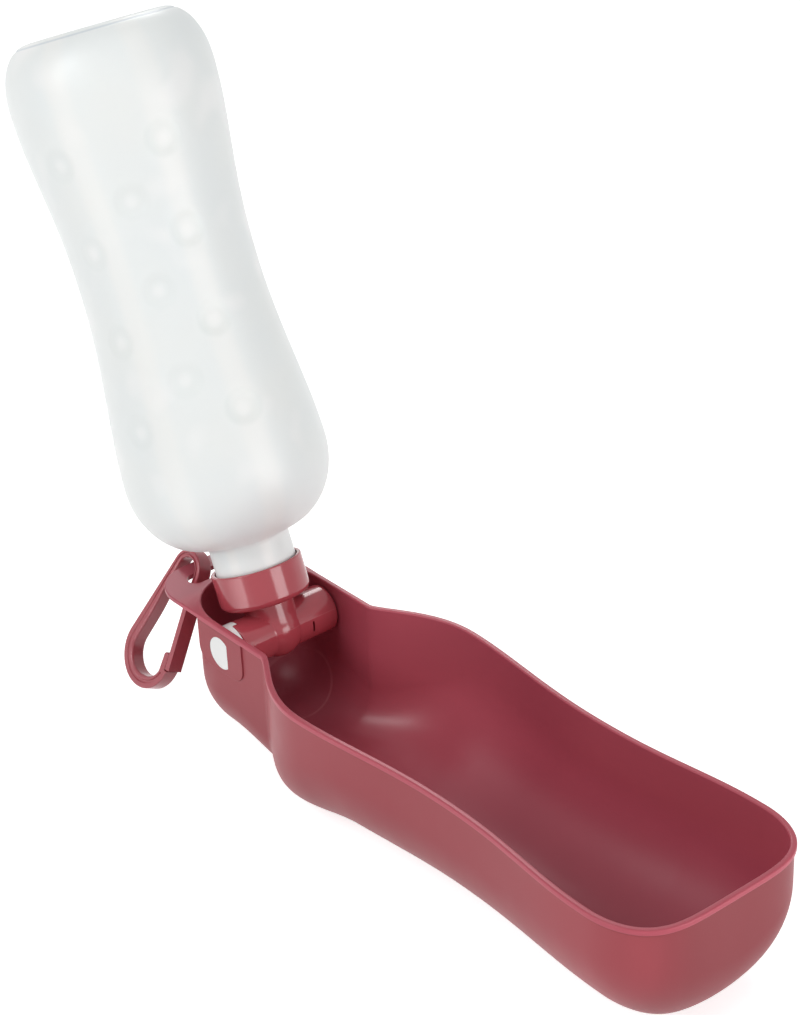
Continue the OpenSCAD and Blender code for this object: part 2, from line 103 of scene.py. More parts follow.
def solid(name, points, faces, place=None):
    """An object from points in millimetres. Its mesh is closed, merged and turned outwards."""
    mesh = bpy.data.meshes.new(name)
    mesh.from_pydata([Vector(p) * MM for p in points], [], faces)
    shape = bmesh.new()
    shape.from_mesh(mesh)
    bmesh.ops.remove_doubles(shape, verts=shape.verts, dist=MERGE_GAP * MM)
    bmesh.ops.dissolve_degenerate(shape, edges=shape.edges, dist=SLIVER * MM)
    bmesh.ops.recalc_face_normals(shape, faces=shape.faces)
    for face in shape.faces:
        face.smooth = True
    shape.to_mesh(mesh)
    shape.free()
    piece = bpy.data.objects.new(name, mesh)
    bpy.context.scene.collection.objects.link(piece)
    if place is not None:
        piece.matrix_world = place
    return piece


def tube_faces(rings, around, closed):
    """Quads between neighbouring rings of a list of points, and round to the first ring when closed."""
    faces = []
    for k in range(rings if closed else rings - 1):
        low, high = k * around, (k + 1) % rings * around
        for i in range(around):
            j = (i + 1) % around
            faces.append((low + i, low + j, high + j, high + i))
    return faces


def revolve(name, outline, around, place):
    """Spins a closed outline of (radius, height) round Z."""
    points = [(r * math.cos(2 * math.pi * i / around), r * math.sin(2 * math.pi * i / around), z)
              for r, z in outline for i in range(around)]
    return solid(name, points, tube_faces(len(outline), around, True), place)


# %% [markdown]
# Flat parts such as the tab are plates. `arc` draws the round parts of an outline, `finely` cuts its long
# sides into short ones, and `prism` gives the outline a thickness with rounded rims, as a mould leaves them.

# %% Outlines and plates
RIM_STEPS = 4


def finely(outline, step=1.0):
    """Adds points to the long straight parts of an outline, so that cuts disturb only what is near them."""
    dense = []
    for i, (x, y) in enumerate(outline):
        u, v = outline[(i + 1) % len(outline)]
        parts = max(1, round(math.hypot(u - x, v - y) / step))
        dense += [(x + (u - x) * k / parts, y + (v - y) * k / parts) for k in range(parts)]
    return dense


def arc(x, y, r, start, end, steps):
    """Points on a circle round (x, y), with angles in degrees."""
    angles = [math.radians(start + (end - start) * i / steps) for i in range(steps + 1)]
    return [(x + r * math.cos(a), y + r * math.sin(a)) for a in angles]


def prism(name, outline, low, high, edge=0.0, place=None):
    """A plate with the given outline in XY. Its rims are rounded by edge."""
    bends = [math.pi / 2 * k / RIM_STEPS for k in range(RIM_STEPS + 1)] if edge else [0]
    levels = [(edge * (1 - math.sin(a)), low + edge * (1 - math.cos(a))) for a in bends]
    levels += [(inset, high + low - z) for inset, z in reversed(levels)]
    n = len(outline)
    rings = []
    for inset, z in levels:
        for i in range(n):
            before, here, after = Vector(outline[i - 1]), Vector(outline[i]), Vector(outline[(i + 1) % n])
            along = (after - before).normalized()
            rings.append((here.x - along.y * inset, here.y + along.x * inset, z))
    faces = tube_faces(len(levels), n, False)
    faces += [tuple(reversed(range(n))), tuple(range(len(rings) - n, len(rings)))]
    return solid(name, rings, faces, place)


# %% [markdown]
# Mouldings run into each other, so `carve` joins or cuts solids with a boolean, and `join` lays a ridge
# into another piece's mesh. A boolean leaves hard edges: `even` keeps them but shades the flats flat, and
# `soften` rounds them by a fraction of a millimetre.

# %% Joining, cutting and softening
def carve(piece, how, *others):
    """Joins (UNION) or cuts (DIFFERENCE) other solids with the piece, and removes them."""
    for other in others:
        step = piece.modifiers.new(how.lower(), "BOOLEAN")
        step.operation, step.object, step.solver = how, other, "MANIFOLD"
        bpy.context.view_layer.update()
        view = bpy.context.evaluated_depsgraph_get()
        mesh = bpy.data.meshes.new_from_object(piece.evaluated_get(view))
        piece.modifiers.clear()
        piece.data = mesh
        bpy.data.objects.remove(other)
    return piece


def join(piece, other):
    """Puts another mesh into the piece's own."""
    mesh = bmesh.new()
    mesh.from_mesh(piece.data)
    extra = other.data.copy()
    extra.transform(piece.matrix_world.inverted() @ other.matrix_world)
    mesh.from_mesh(extra)
    bpy.data.objects.remove(other)
    mesh.to_mesh(piece.data)
    mesh.free()
    return piece


def even(piece, angle=38):
    """Smooth shading that keeps the edges sharper than angle, with flats that look flat."""
    piece.data.shade_smooth()
    piece.data.set_sharp_from_angle(angle=math.radians(angle))
    piece.modifiers.new("even shading", "WEIGHTED_NORMAL").keep_sharp = True
    return piece


def soften(piece, width):
    """Welds the doubled points of an engineering mesh and rounds its hard edges."""
    piece.modifiers.new("weld", "WELD").merge_threshold = SLIVER * MM
    edge = piece.modifiers.new("soft edges", "BEVEL")
    edge.width, edge.segments = width * MM, 3
    edge.limit_method, edge.angle_limit = "ANGLE", math.radians(34)
    piece.modifiers.new("even shading", "WEIGHTED_NORMAL")
    for face in piece.data.polygons:
        face.use_smooth = True
    return piece


# %% [markdown]
# ## Writing finishes as sums
# A node tree is easier to read as an expression. `Signal` wraps one socket, so that `1 - mask * 0.3` adds
# the Math nodes by itself, and `Finish` starts a material and adds every other node through one method.
# Constants go straight into the main shader's sockets, where they are easy to find in the editor.

# %% Signal and Finish
class Signal:
    """A number, colour or vector that runs along a material's links."""

    def __init__(self, finish, socket):
        self.finish, self.socket = finish, socket

    def other(self, out):
        """Another output of the same node."""
        return Signal(self.finish, self.socket.node.outputs[out])

    def maths(self, operation, *values):
        return self.finish.node("ShaderNodeMath", {"operation": operation}, dict(enumerate(values)))

    def __add__(self, other):
        return self.maths("ADD", self, other)

    def __sub__(self, other):
        return self.maths("SUBTRACT", self, other)

    def __rsub__(self, other):
        return self.maths("SUBTRACT", other, self)

    def __mul__(self, other):
        return self.maths("MULTIPLY", self, other)

    def __truediv__(self, other):
        return self.maths("DIVIDE", self, other)

    def __pow__(self, other):
        return self.maths("POWER", self, other)

    def __mod__(self, other):
        return self.maths("FLOORED_MODULO", self, other)

    __radd__, __rmul__ = __add__, __mul__

    def above(self, other):
        return self.maths("GREATER_THAN", self, other)

    def under(self, other):
        return self.maths("LESS_THAN", self, other)

    def least(self, other):
        return self.maths("MINIMUM", self, other)

    def size(self):
        return self.maths("ABSOLUTE", self)

    def held(self, low, high):
        return self.maths("MINIMUM", self.maths("MAXIMUM", self, low), high)

    def over(self, low, high):
        """0 below low, 1 above high, and smooth between them."""
        return self.finish.node("ShaderNodeMapRange", {"interpolation_type": "SMOOTHSTEP"},
                                {"Value": self, "From Min": low, "From Max": high})


class Finish:
    """A material, its main shader, and the position on the piece in millimetres."""

    def __init__(self, name, colour, roughness):
        self.material = bpy.data.materials.new(name)
        self.material.use_nodes = True
        self.tree = self.material.node_tree
        self.shader = self.tree.nodes["Principled BSDF"]
        self.shader.inputs["Base Color"].default_value = (*colour, 1)
        self.shader.inputs["Roughness"].default_value = roughness
        self.place = self.node("ShaderNodeVectorMath", {"operation": "SCALE"},
                               {"Vector": self.node("ShaderNodeTexCoord", out="Object"), "Scale": 1 / MM})

    def node(self, kind, settings=None, sockets=None, out=0):
        """Adds one node: its settings first, then the values or links of its sockets."""
        made = self.tree.nodes.new(kind)
        for name, value in (settings or {}).items():
            setattr(made, name, value)
        for name, value in (sockets or {}).items():
            if isinstance(value, Signal):
                self.tree.links.new(value.socket, made.inputs[name])
            else:
                made.inputs[name].default_value = value
        return Signal(self, made.outputs[out])

    def angle(self, y, x):
        """The direction of (x, y) in degrees."""
        return self.node("ShaderNodeMath", {"operation": "ARCTAN2"}, {0: y, 1: x}) * (180 / math.pi)

    def axes(self, vector=None):
        """The three parts of a vector, the position by default."""
        split = self.node("ShaderNodeSeparateXYZ", sockets={"Vector": vector or self.place})
        return [split.other(i) for i in range(3)]

    def noise(self, scale, detail=2.0, vector=None):
        """Noise from 0 to 1, where scale is features to the millimetre."""
        return self.node("ShaderNodeTexNoise", {"noise_dimensions": "3D"},
                         {"Vector": vector or self.place, "Scale": scale, "Detail": detail})

    def mix(self, a, b, factor):
        """Colour a where factor is 0, and b where it is 1."""
        a, b = (c if isinstance(c, Signal) else (*c, 1) for c in (a, b))
        return self.node("ShaderNodeMix", {"data_type": "RGBA"}, {"Factor": factor, 6: a, 7: b}, out=2)

    def give(self, **sockets):
        """Links signals to the shader's sockets, or sets plain values. Base_Color means Base Color."""
        for name, value in sockets.items():
            socket = self.shader.inputs[name.replace("_", " ")]
            if isinstance(value, Signal):
                self.tree.links.new(value.socket, socket)
            else:
                socket.default_value = value
        return self

    def bump(self, height, depth):
        """Raises the surface by height, a signal in millimetres times depth."""
        normal = self.node("ShaderNodeBump", {}, {"Height": height, "Distance": depth * MM, "Strength": 1.0})
        return self.give(Normal=normal)


def paint(red, green, blue):
    """A colour as a screen shows it, from 0 to 255, turned into light."""
    return tuple(c / 12.92 if c <= 0.04045 else ((c + 0.055) / 1.055) ** 2.4
                 for c in (red / 255, green / 255, blue / 255))


def dress(piece, finish):
    """Gives a piece its only material."""
    piece.data.materials.clear()
    piece.data.materials.append(finish.material)


print("maroon as light:", [round(v, 3) for v in paint(160, 82, 90)])

# %% [markdown]
# ## The trough's outline
# Seen from above the opening is a round head, a bulge for the bottle's shoulder, a waist and a squarish
# far end. It is one list of points, walked once round, and each point knows which way is outwards.

# %% Outline of the opening
HEAD_STEPS, SIDE_STEPS, END_STEPS = 32, 160, 40
HEAD_POWER, BULGE_POWER, END_POWER, END_SPACING = 0.9, 0.66, 0.42, 1.9


def opening_half_width(x):
    if x < SHOULDER_S:
        t = clamp((x - HEAD_END_X) / (SHOULDER_S - HEAD_END_X), 0, 1) ** BULGE_POWER
        return blend(HEAD_HALF_W, SHOULDER_R + NEST_GAP, t)
    return bottle_side(x) + NEST_GAP


def half_outline():
    """One side from the head's tip to the far tip, as (x, half width)."""
    points = []
    for i in range(HEAD_STEPS + 1):
        a = math.pi / 2 * i / HEAD_STEPS
        points.append((HEAD_ROUND_X - (HEAD_REACH + HEAD_ROUND_X) * max(math.cos(a), 0) ** HEAD_POWER,
                       HEAD_HALF_W * math.sin(a) ** HEAD_POWER))
    for i in range(1, SIDE_STEPS + 1):
        x = HEAD_ROUND_X + (FAR_ROUND_X - HEAD_ROUND_X) * i / SIDE_STEPS
        points.append((x, opening_half_width(x)))
    for i in range(1, END_STEPS + 1):
        a = math.pi / 2 * (1 - i / END_STEPS) ** END_SPACING
        points.append((FAR_ROUND_X + (BOWL_REACH - FAR_ROUND_X) * math.cos(a),
                       (HEEL_R + NEST_GAP) * math.sin(a) ** END_POWER))
    return points


half = half_outline()
OPENING = [Vector((x, -w)) for x, w in half] + [Vector(p) for p in half[-2:0:-1]]
AROUND = len(OPENING)
OUTWARD = []
for i in range(AROUND):
    along = (OPENING[(i + 1) % AROUND] - OPENING[i - 1]).normalized()
    OUTWARD.append(Vector((along.y, -along.x)))
print("points round the opening:", AROUND)

# %% [markdown]
# ## The trough's shell
# The wall comes straight down from a thin lip and then turns in a large round to a narrow flat floor. So
# the mesh is a stack of rings: the outer skin from its middle line up to the lip, over the lip, and down
# the inner skin again. The underside is held at the table's height, which makes the flat it stands on.

# %% Rings of the shell
ROUNDNESS, SQUARER = 0.93, 0.34
SPINE_X, SQUARE_END_X, SQUARE_FADE = -5.0, 38, 42
HEAD_LOW, WAIST_LOW, END_LOW = -1.2, 1.0, -0.4


def roundness_at(x):
    """The section is squarer where the head widens into the bowl."""
    here = ease((x - SPINE_X) / SQUARE_FADE) * (1 - ease((x - SQUARE_END_X) / SQUARE_FADE))
    return ROUNDNESS - SQUARER * here


def skin_z(x):
    """Lowest point of the outer skin. It rises a little at the waist."""
    if x < WAIST_S:
        return blend(HEAD_LOW, WAIST_LOW, (x - SHOULDER_S) / (WAIST_S - SHOULDER_S))
    return blend(WAIST_LOW, END_LOW, (x - WAIST_S) / (HEEL_S - WAIST_S))


def round_ring(offset, degrees, outer, spread=1.0):
    """Ring at an angle down the round, 0 at the wall and 90 at the floor. Spread closes the floor."""
    a = math.radians(degrees)
    ring = []
    for p, out in zip(OPENING, OUTWARD):
        foot = Vector((clamp(p.x, SPINE_X, HEEL_S), 0))
        share = roundness_at(p.x)
        reach = p + out * offset - foot
        low = skin_z(p.x) if outer else FLOOR + max(0, skin_z(p.x))
        q = foot + reach * (1 - share * (1 - math.cos(a))) * spread
        z = low + share * reach.length * (1 - math.sin(a))
        ring.append((q.x, q.y, max(z, 0) if outer else z))
    return ring


def flat_ring(offset, z):
    return [(p.x + out.x * offset, p.y + out.y * offset, z) for p, out in zip(OPENING, OUTWARD)]


def between(low, high, t):
    return [tuple(a + (b - a) * t for a, b in zip(p, q)) for p, q in zip(low, high)]


# %% [markdown]
# The lip is a thin bead round the opening. Its section is a list of (distance outwards, height from the
# rim): a small hollow under the bead, its upright side, and a round on each side of its top.

# %% Lip and shell
LIP_OUT, LIP_ROUND = WALL + LIP, 0.6
lip_section = [(WALL, -2.5), (WALL + 0.06, -2.27), (LIP_OUT - 0.3, -1.97), (LIP_OUT - 0.08, -1.85),
               (LIP_OUT, -1.65), (LIP_OUT, -1.1)]
lip_section += arc(LIP_OUT - LIP_ROUND, -LIP_ROUND, LIP_ROUND, 0, 90, 5)
lip_section += arc(LIP_ROUND, -LIP_ROUND, LIP_ROUND, 90, 180, 5)
lip_rings = [flat_ring(offset, RIM_Z + z) for offset, z in lip_section]
FLOOR_STEPS = (0.0, 0.2, 0.4, 0.6, 0.8)
ANGLES = [90 - 3.75 * k for k in range(25)]
outer_rings = [round_ring(WALL, 90, True, t) for t in FLOOR_STEPS]
outer_rings += [round_ring(WALL, a, True) for a in ANGLES]
inner_rings = [round_ring(0, a, False) for a in reversed(ANGLES)]
inner_rings += [round_ring(0, 90, False, t) for t in reversed(FLOOR_STEPS)]
rings = outer_rings + [between(outer_rings[-1], lip_rings[0], t) for t in (0.25, 0.5, 0.75)] + lip_rings
rings += [between(lip_rings[-1], inner_rings[0], t) for t in (0.2, 0.4, 0.6, 0.8)] + inner_rings
trough = solid("trough_moulding", [p for ring in rings for p in ring],
               tube_faces(len(rings), AROUND, False))
print("shell faces:", len(trough.data.polygons))

# %% [markdown]
# ## The tab, the pads and the keyed holes
# The tab is a plate flush with the rim, with a slot for the clip. A U-shaped pad stands a little proud on
# each wall of the head, round a D-shaped hole that keys the white valve core. These are plates with
# rounded rims, joined to the shell, and the holes are cut last.

# %% Cut the tab
TAB_REACH, TAB_CORNER, TAB_THICK, TAB_EDGE, TAB_SUNK = 43.2, 16.0, 1.8, 0.4, 0.02
SLOT_W, SLOT_LEN, BRIDGE_W = 6.9, 27.2, 7.2
SLOT_X = -TAB_REACH + BRIDGE_W + SLOT_W / 2
TAB_HALF_W = HEAD_HALF_W + LIP_OUT
CORNER_Y = TAB_HALF_W - TAB_CORNER
tab_outline = ([(2.5, TAB_HALF_W - 0.5), (-6, TAB_HALF_W - 0.1), (-12, TAB_HALF_W)]
               + arc(-TAB_REACH + TAB_CORNER, CORNER_Y, TAB_CORNER, 90, 180, 16)
               + arc(-TAB_REACH + TAB_CORNER, -CORNER_Y, TAB_CORNER, 180, 270, 16)
               + [(-12, -TAB_HALF_W), (-6, -TAB_HALF_W + 0.1), (2.5, -TAB_HALF_W + 0.5)])
tab = prism("tab", finely(tab_outline, 2.0), RIM_Z - TAB_THICK, RIM_Z - TAB_SUNK, TAB_EDGE)
slot_outline = (arc(SLOT_X, (SLOT_LEN - SLOT_W) / 2, SLOT_W / 2, 0, 180, 20)
                + arc(SLOT_X, -(SLOT_LEN - SLOT_W) / 2, SLOT_W / 2, 180, 360, 20))
head_outline = [(p.x + out.x, p.y + out.y) for p, out in zip(OPENING, OUTWARD) if p.x < 8]
first = next(i for i, (x, y) in enumerate(head_outline) if y > 0 and x > 7)
head_outline = head_outline[first:] + head_outline[:first]
carve(tab, "DIFFERENCE", prism("slot", slot_outline, RIM_Z - 5, RIM_Z + 5),
      prism("head_opening", head_outline, RIM_Z - 5, RIM_Z + 5))
print("tab faces:", len(tab.data.polygons))

# %% Join the tab and pads, cut the keyed holes
PAD_W, PAD_DROP, PAD_R, PAD_PROUD, PAD_EDGE, PAD_TOP, PAD_SUNK = 12.8, 18.5, 6.0, 0.6, 0.25, 1.3, 0.05
KEY_R, KEY_FLAT = 6.24, 49
pad_outline = (arc(-PAD_W + PAD_R, RIM_Z - PAD_DROP + PAD_R, PAD_R, 180, 270, 12)
               + arc(PAD_W - PAD_R, RIM_Z - PAD_DROP + PAD_R, PAD_R, 270, 360, 12)
               + [(PAD_W, RIM_Z - PAD_TOP), (-PAD_W, RIM_Z - PAD_TOP)])
ON_SIDE = Matrix.Rotation(math.radians(90), 4, "X")
pad_foot, pad_face = HEAD_HALF_W + PAD_SUNK, HEAD_HALF_W + WALL + PAD_PROUD
for start_y in (-pad_foot, pad_face):
    stand = Matrix.Translation((0, start_y * MM, 0)) @ ON_SIDE
    carve(trough, "UNION", prism("pad", pad_outline, 0, pad_face - HEAD_HALF_W - PAD_SUNK, PAD_EDGE, stand))
carve(trough, "UNION", tab)
pivot = Matrix.Translation((0, 0, PIVOT_Z * MM)) @ ON_SIDE
key_outline = arc(0, 0, KEY_R, KEY_FLAT, 360 - KEY_FLAT, 48)
carve(trough, "DIFFERENCE", prism("keyed_hole", key_outline, -60, 60, place=pivot))
even(trough)
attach(trough, "trough")
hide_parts("trough")
print("trough faces:", len(trough.data.polygons))

# %% [markdown]
# ## The bottle
# A blow-moulded bottle is a thin skin of revolution. Its profile is a neck, a rounded shoulder, the waist
# and a rounded heel with a pushed-in base. The grips are shallow dimples, and a dimple with a soft edge
# is a small inward move of the skin. The mesh is built in the bottle's own axes and then leaned back.

# %% The bottle's sizes and dimples
OPEN_PLACE = Matrix.Translation((0, 0, PIVOT_Z * MM)) @ Matrix.Rotation(-TILT, 4, "Y")
LIP_S, CAP_RIM_S, THREAD_R, BOTTLE_WALL = 14.94, 24.9, 13.4, 1.3
BASE_R, RECESS, BASE_RISE, HEEL_FULL = 23.0, 2.5, 0.5, 2.15
RECESS_R, RECESS_W, CROWN, CROWN_R = BASE_R - 1.0, 7.5, 0.5, 13.8
GROOVE_R, GROOVE_W, GROOVE_DEPTH = 28.0, 0.45, 0.22
DIMPLE_R, DIMPLE_DEPTH, DIMPLE_S, DIMPLE_PITCH, DIMPLE_SHIFT = 6.8, 0.5, 84.5, 31.0, 13.8
DIMPLE_FLAT, DIMPLE_SLOPE, HEART_R, HEART_RISE = 0.45, 0.5, 0.6, 0.35
GRIP_ANGLE, COLUMN_STEP, MIDDLE_TURN = -43.0, 32.0, 4.0
NECK_FILLET = 2.2

dimples = []
for grip in (GRIP_ANGLE, GRIP_ANGLE + 180):
    for column in (-1, 0, 1):
        for i in range(3 if column == 0 else 4):
            s = DIMPLE_S + (DIMPLE_SHIFT if column == 0 else 0) + i * DIMPLE_PITCH
            angle = grip + (column * COLUMN_STEP or MIDDLE_TURN)
            dimples.append((math.radians(angle), s))


def dent(angle, s, radius):
    """How far the dimples push the skin in. Each has a soft slope and a heart that rises a little."""
    depth = 0.0
    for where, along in dimples:
        if abs(s - along) < DIMPLE_R:
            turn = (angle - where + math.pi) % (2 * math.pi) - math.pi
            t = math.hypot(turn * radius, s - along) / DIMPLE_R
            if t < 1:
                slope = 1 - ease((t - DIMPLE_FLAT) / DIMPLE_SLOPE)
                depth += DIMPLE_DEPTH * slope * (1 - HEART_RISE * (1 - ease(t / HEART_R)))
    return depth


print("dimples:", len(dimples))


# %% [markdown]
# The profile runs from the neck's top over the shoulder, down the side, round the heel and into the base.
# The heel is a superellipse, which is fuller than a quarter circle, and a fine groove circles the foot.
# The inner skin is the same profile moved in by the wall, with fewer rings where nobody looks.

# %% Profile
SHOULDER_STEPS, RECESS_STEPS = 32, 14


def skin_profile(inset):
    """Outline of the bottle's skin from the neck's top to the middle of the base, moved in by inset."""
    f = NECK_FILLET + inset
    points = arc(NECK_R + NECK_FILLET, NECK_TOP_S - NECK_FILLET, f, 180, 90, 6)
    start = math.asin(NECK_FILLET / (SHOULDER_R - NECK_R))
    for i in range(1, SHOULDER_STEPS + 1):
        a = start + (math.pi / 2 - start) * i / SHOULDER_STEPS
        points.append((NECK_R - inset + (SHOULDER_R - NECK_R) * math.sin(a),
                       SHOULDER_S - (SHOULDER_S - NECK_TOP_S - inset) * math.cos(a)))
    rings = 80 if inset else 160
    for i in range(1, rings + 1):
        s = SHOULDER_S + (HEEL_S - SHOULDER_S) * i / rings
        points.append((bottle_side(s) - inset, s))
    edge_s = BASE_S + BASE_RISE - inset
    rings = 24 if inset else 64
    for i in range(1, rings + 1):
        a = math.pi / 2 * i / rings
        r = BASE_R + (HEEL_R - BASE_R - inset) * math.cos(a) ** (2 / HEEL_FULL)
        s = HEEL_S + (edge_s - HEEL_S) * math.sin(a) ** (2 / HEEL_FULL)
        if inset == 0:
            s -= GROOVE_DEPTH * math.exp(-((r - GROOVE_R) / GROOVE_W) ** 2)
        points.append((r, s))
    for i in range(1, RECESS_STEPS + 1):
        r = RECESS_R - RECESS_W * i / RECESS_STEPS
        points.append((r, edge_s - (RECESS + BASE_RISE) * ease((RECESS_R - r) / RECESS_W)))
    points += [(r, BASE_S - inset - RECESS + CROWN * ease(1 - r / CROWN_R)) for r in (12, 9, 6, 3, 1, 0)]
    return points


print("points of the profile:", len(skin_profile(0)))

# %% Build the bottle
BOTTLE_AROUND, MOUTH_R = 216, 11.7
SIDE_LOW, SIDE_HIGH, SIDE_MIN_R = 60, 200, 20
neck = [(THREAD_R - 0.35, LIP_S), (THREAD_R - 0.1, LIP_S + 0.1), (THREAD_R, LIP_S + 0.35),
        (THREAD_R, 18), (THREAD_R, 21), (THREAD_R, CAP_RIM_S - 2), (THREAD_R + 0.6, CAP_RIM_S - 1.5),
        (NECK_R, CAP_RIM_S - 1), (NECK_R, 27), (NECK_R, 30)]
mouth = [(NECK_R - BOTTLE_WALL, 31), (MOUTH_R, 29), (MOUTH_R, LIP_S + 0.3), (MOUTH_R + 0.3, LIP_S)]
outline = neck + skin_profile(0) + skin_profile(BOTTLE_WALL)[::-1] + mouth
points = []
for r, s in outline:
    for i in range(BOTTLE_AROUND):
        angle = 2 * math.pi * i / BOTTLE_AROUND
        deep = r - (dent(angle, s, r) if SIDE_LOW < s < SIDE_HIGH and r > SIDE_MIN_R else 0)
        points.append((deep * math.cos(angle), deep * math.sin(angle), s))
bottle = solid("bottle_skin", points, tube_faces(len(outline), BOTTLE_AROUND, True), OPEN_PLACE)
print("bottle faces:", len(bottle.data.polygons))

# %% [markdown]
# The neck carries a raised thread of one turn, and the cap has its counterpart. Each is a small tapered
# ridge that climbs one pitch. A screw modifier would make it too, but its ends would be blunt: here the
# ridge grows and fades over the first and last steps.

# %% Thread
THREAD_STEPS, THREAD_LEAD, THREAD_PITCH, THREAD_DEPTH = 96, 10, 2.0, 1.1
RIDGE_FOOT, RIDGE_FLANK, RIDGE_SUNK = 0.5, 0.25, 0.3
THREAD_S = LIP_S + 1.5


def thread(name, root_r, start_s, way):
    """A ridge of one turn that stands outwards when way is 1 and inwards when way is -1."""
    points = []
    for i in range(THREAD_STEPS + 1):
        a = 2 * math.pi * i / THREAD_STEPS
        high = way * THREAD_DEPTH * min(1, (i + 0.8) / THREAD_LEAD, (THREAD_STEPS - i + 0.8) / THREAD_LEAD)
        s = start_s + THREAD_PITCH * i / THREAD_STEPS
        for r, ds in ((root_r - way * RIDGE_SUNK, -RIDGE_FOOT), (root_r + high * 0.8, -RIDGE_FLANK),
                      (root_r + high, 0), (root_r + high * 0.8, RIDGE_FLANK),
                      (root_r - way * RIDGE_SUNK, RIDGE_FOOT)):
            points.append((r * math.cos(a), r * math.sin(a), s + ds))
    faces = tube_faces(THREAD_STEPS + 1, 5, False)
    faces += [(4, 3, 2, 1, 0), tuple(5 * THREAD_STEPS + k for k in range(5))]
    return solid(name, points, faces, OPEN_PLACE)


join(bottle, thread("neck_thread", THREAD_R, THREAD_S, 1))
even(bottle, 50)
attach(bottle, "bottle")
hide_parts("bottle")
print("bottle placed:", [round(v, 4) for v in bottle.matrix_world.translation])

# %% [markdown]
# ## The cap, stem and barrel
# One glossy moulding: a cup-shaped cap with the thread inside, a stem with a round end, and the barrel
# that turns in the head. Each is a turned shape, so each is revolved with rounded corners, then they are
# joined, and the bores, the outlet slit and the stop notch are cut out.

# %% Turn and join the connector
CAP_R, CAP_BORE_R, CAP_FOOT_S, CAP_FLOOR_S = 16.5, 15.1, 11.4, 13.4
CAP_ROUND, CAP_EDGE, BORE_EDGE, THREAD_APART = 2.4, 0.45, 0.3, 0.85
BARREL_R, BARREL_BORE_R, BARREL_NEAR, BARREL_FAR, BARREL_EDGE = 8.6, 6.2, 18.0, 21.7, 0.5
STEM_R, BALL_R, PORT_R, STEM_SUNK = 9.3, 10.0, 3.6, 0.5
SLIT_Y, SLIT_ANGLES = (10.5, 11.3), (-16, 14)
NOTCH_DEEP, NOTCH_ANGLES = 2.2, (90.5, 239.5)
ALONG_Y = Matrix.Rotation(math.radians(-90), 4, "X")


def turned(name, outline, along=Matrix.Identity(4)):
    """A turned piece on the bottle's axis, or on the pivot with ALONG_Y."""
    return revolve(name, finely(outline), 192, OPEN_PLACE @ along)


cap_outline = ([(0, CAP_FOOT_S)] + arc(CAP_R - CAP_ROUND, CAP_FOOT_S + CAP_ROUND, CAP_ROUND, -90, 0, 12)
               + [(CAP_R, CAP_FOOT_S + 6)] + arc(CAP_R - CAP_EDGE, CAP_RIM_S - CAP_EDGE, CAP_EDGE, 0, 90, 5)
               + arc(CAP_BORE_R + BORE_EDGE, CAP_RIM_S - BORE_EDGE, BORE_EDGE, 90, 180, 4)
               + [(CAP_BORE_R, CAP_FLOOR_S), (0, CAP_FLOOR_S)])
stem_top = CAP_FOOT_S + STEM_SUNK
stem_outline = arc(0, 0, BALL_R, -90, 15, 28) + [(STEM_R, 5.2), (STEM_R, stem_top), (0, stem_top)]
turn_r = BARREL_R - BARREL_EDGE
barrel_outline = ([(0, -BARREL_NEAR)] + arc(turn_r, BARREL_EDGE - BARREL_NEAR, BARREL_EDGE, -90, 0, 5)
                  + arc(turn_r, BARREL_FAR - BARREL_EDGE, BARREL_EDGE, 0, 90, 5) + [(0, BARREL_FAR)])
connector = turned("cap_moulding", cap_outline)
carve(connector, "UNION", turned("stem", stem_outline), turned("barrel", barrel_outline, ALONG_Y))
carve(connector, "DIFFERENCE",
      turned("bore", [(0, -30), (BARREL_BORE_R, -30), (BARREL_BORE_R, 30), (0, 30)], ALONG_Y),
      turned("port", [(0, 0), (PORT_R, 0), (PORT_R, 20), (0, 20)]))


def wedge(name, low_y, high_y, angles):
    """A slice of a disc round the pivot, between two angles above +X and two places along Y."""
    start, end = (angle - math.degrees(TILT) for angle in angles)
    outline = [(0, 0)] + [(x, -z) for x, z in arc(0, 0, BARREL_R + 0.5, start, end, 16)][::-1]
    return prism(name, outline, low_y, high_y, place=OPEN_PLACE @ ALONG_Y)


carve(connector, "DIFFERENCE", wedge("slit", *SLIT_Y, SLIT_ANGLES),
      wedge("notch", -BARREL_NEAR - 1, -BARREL_NEAR + NOTCH_DEEP, NOTCH_ANGLES))
join(connector, thread("cap_thread", CAP_BORE_R, THREAD_S + THREAD_APART, -1))
even(connector)
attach(connector, "connector")
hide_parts("connector")
print("connector faces:", len(connector.data.polygons))

# %% [markdown]
# ## The clip's frame
# A moulded clip is light and stiff because its bar has a channel along both faces. So its section is
# drawn once, with the channel and rounded corners, and swept along the clip's pear-shaped middle line,
# from the fork that holds the arm, over the small end, and round the large end to the nose.

# %% Middle line and section of the clip
CLIP_TOP_R, CLIP_BASE_R, BAR_TOP, BAR_BASE, BAR_EXTRA, CLIP_DEPTH = 4.7, 9.5, 2.9, 3.9, 0.9, 6.0
CLIP_LEAN, CLIP_LENGTH, FOOT_X = 27, 35.5, -6.4
FOOT = Vector((FOOT_X, -math.sqrt(CLIP_LENGTH ** 2 - FOOT_X ** 2)))
BAR_START, ARM_PIVOT, ARM_IN_X, GATE_LOW = Vector((5.97, -6.0)), Vector((6.0, -7.0)), 6.0, FOOT.y - 2.0
LEG_STEPS, BASE_STEPS, EXTRA_START, EXTRA_GROW, EXTRA_END, EXTRA_FADE = 40, 64, 0.25, 0.5, 0.6, 0.3
CLIP_HANG = Vector((-39.6, -7.3, 48.5))
MID_TOP, MID_BASE = CLIP_TOP_R + BAR_TOP / 2, CLIP_BASE_R + BAR_BASE / 2
